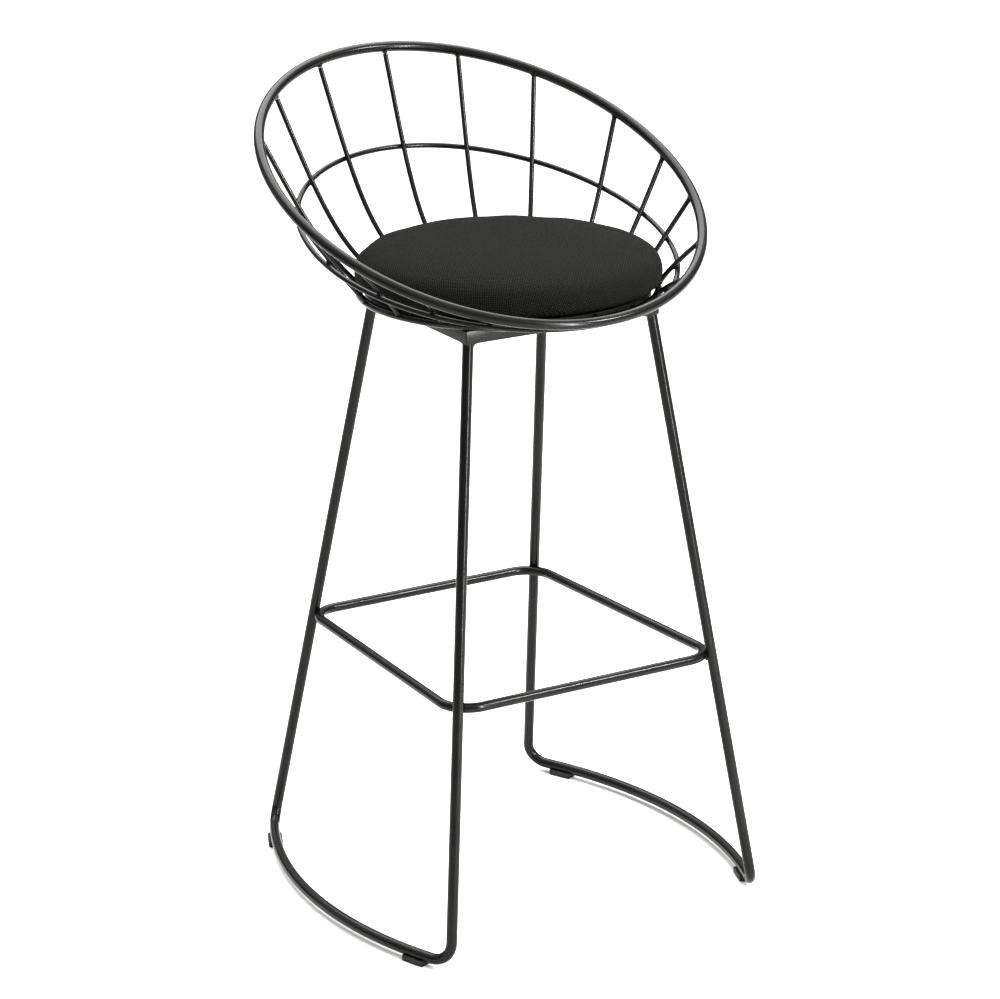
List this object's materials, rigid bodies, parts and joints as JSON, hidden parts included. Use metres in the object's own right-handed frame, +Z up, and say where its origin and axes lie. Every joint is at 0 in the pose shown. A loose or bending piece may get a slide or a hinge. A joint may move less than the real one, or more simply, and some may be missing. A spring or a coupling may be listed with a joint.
{
  "type": "bar stool",
  "caption": "Bar stool with two bent sled legs, a footrest ring, a square seat frame and an open wire basket back round a round padded seat.",
  "frame": {"origin": "on the floor, under the middle of the bounding box", "axes": "+Z up, +Y towards the high back of the basket, -Y towards the open front, +X to the sitter's left as they face -Y"},
  "size_m": [0.4928, 0.5102, 0.9064],
  "materials": {
    "black_powder_coat": "satin black powder coat",
    "glide_plastic": "matt moulded black plastic",
    "seat_fabric": "fine basket weave, dark charcoal",
    "seat_board": "black stained plywood"
  },
  "bodies": {
    "root": {"basket_belt": "black_powder_coat", "basket_rim": "black_powder_coat", "footrest_ring": "black_powder_coat", "glide_front_left": "glide_plastic", "glide_front_right": "glide_plastic", "glide_rear_left": "glide_plastic", "glide_rear_right": "glide_plastic", "rib_back": "black_powder_coat", "rib_front": "black_powder_coat", "rib_left_1": "black_powder_coat", "rib_left_2": "black_powder_coat", "rib_left_3": "black_powder_coat", "rib_left_4": "black_powder_coat", "rib_left_5": "black_powder_coat", "rib_left_6": "black_powder_coat", "rib_left_7": "black_powder_coat", "rib_left_8": "black_powder_coat", "rib_right_1": "black_powder_coat", "rib_right_2": "black_powder_coat", "rib_right_3": "black_powder_coat", "rib_right_4": "black_powder_coat", "rib_right_5": "black_powder_coat", "rib_right_6": "black_powder_coat", "rib_right_7": "black_powder_coat", "rib_right_8": "black_powder_coat", "seat_board": "seat_board", "seat_cushion": "seat_fabric", "seat_frame_front_bar": "black_powder_coat", "seat_frame_left_bar": "black_powder_coat", "seat_frame_rear_bar": "black_powder_coat", "seat_frame_right_bar": "black_powder_coat", "seat_ring": "black_powder_coat", "side_sled_left": "black_powder_coat", "side_sled_right": "black_powder_coat"}
  },
  "joints": []
}
